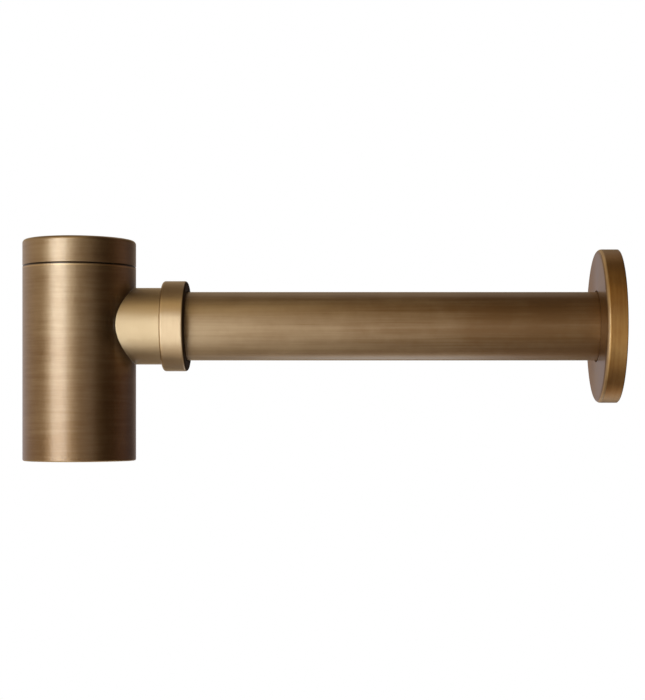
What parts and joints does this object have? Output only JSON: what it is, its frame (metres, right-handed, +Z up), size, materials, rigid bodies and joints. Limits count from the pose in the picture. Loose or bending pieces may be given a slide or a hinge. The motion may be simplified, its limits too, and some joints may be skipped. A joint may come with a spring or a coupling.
{
  "type": "bottle trap",
  "caption": "Round bottle trap for a basin: closed bottle with screwed inlet cap and dip tube, side spigot with slip nut, straight outlet pipe and sliding wall flange.",
  "frame": {"origin": "centre of the inlet thread at the cap's top face", "axes": "+Z up the inlet towards the basin, +X along the outlet pipe towards the wall"},
  "size_m": [0.2775, 0.0716, 0.1028],
  "materials": {
    "aged_bronze": "brown aged bronze on turned brass, fine turning lines, satin",
    "plain_brass": "bare drawn brass, satin",
    "seal_rubber": "black moulded rubber, matt",
    "ring_plastic": "natural white plastic, matt"
  },
  "bodies": {
    "bottle": {"bottle_body": "aged_bronze", "outlet_spigot": "aged_bronze"},
    "cap_ring": {"cap_seal": "seal_rubber"},
    "cap": {"inlet_cap": "aged_bronze", "inlet_washer": "seal_rubber", "dip_tube": "plain_brass"},
    "nut_ring": {"friction_ring": "ring_plastic"},
    "nut": {"outlet_nut": "aged_bronze"},
    "pipe_ring": {"outlet_seal": "seal_rubber"},
    "pipe": {"outlet_pipe": "aged_bronze"},
    "flange_ring": {"flange_seal": "seal_rubber"},
    "flange": {"wall_flange": "aged_bronze"}
  },
  "joints": [
    {"name": "cap_rise", "type": "slide", "parent": "bottle", "child": "cap_ring", "axis": [0, 0, 1], "range_m": [0, 0.0068]},
    {"name": "cap_turn", "type": "hinge", "parent": "cap_ring", "child": "cap", "pos_m": [0, 0, 0], "axis": [0, 0, 1], "range_deg": [0, 1620]},
    {"name": "nut_travel", "type": "slide", "parent": "bottle", "child": "nut_ring", "axis": [1, 0, 0], "range_m": [0, 0.0041]},
    {"name": "nut_turn", "type": "hinge", "parent": "nut_ring", "child": "nut", "pos_m": [0.04, 0, -0.04], "axis": [1, 0, 0], "range_deg": [0, 1440]},
    {"name": "pipe_turn", "type": "hinge", "parent": "bottle", "child": "pipe_ring", "pos_m": [0.045, 0, -0.04], "axis": [1, 0, 0], "continuous": true},
    {"name": "pipe_slide", "type": "slide", "parent": "pipe_ring", "child": "pipe", "axis": [1, 0, 0], "range_m": [-0.003, 0.008]},
    {"name": "flange_slide", "type": "slide", "parent": "pipe", "child": "flange_ring", "axis": [1, 0, 0], "range_m": [-0.18, 0]},
    {"name": "flange_turn", "type": "hinge", "parent": "flange_ring", "child": "flange", "pos_m": [0.245, 0, -0.04], "axis": [1, 0, 0], "continuous": true}
  ],
  "couplings": [
    {"joint": "cap_rise", "follows": "cap_turn", "m_per_rad": 0.00023873},
    {"joint": "nut_travel", "follows": "nut_turn", "m_per_rad": 0.00015915}
  ]
}
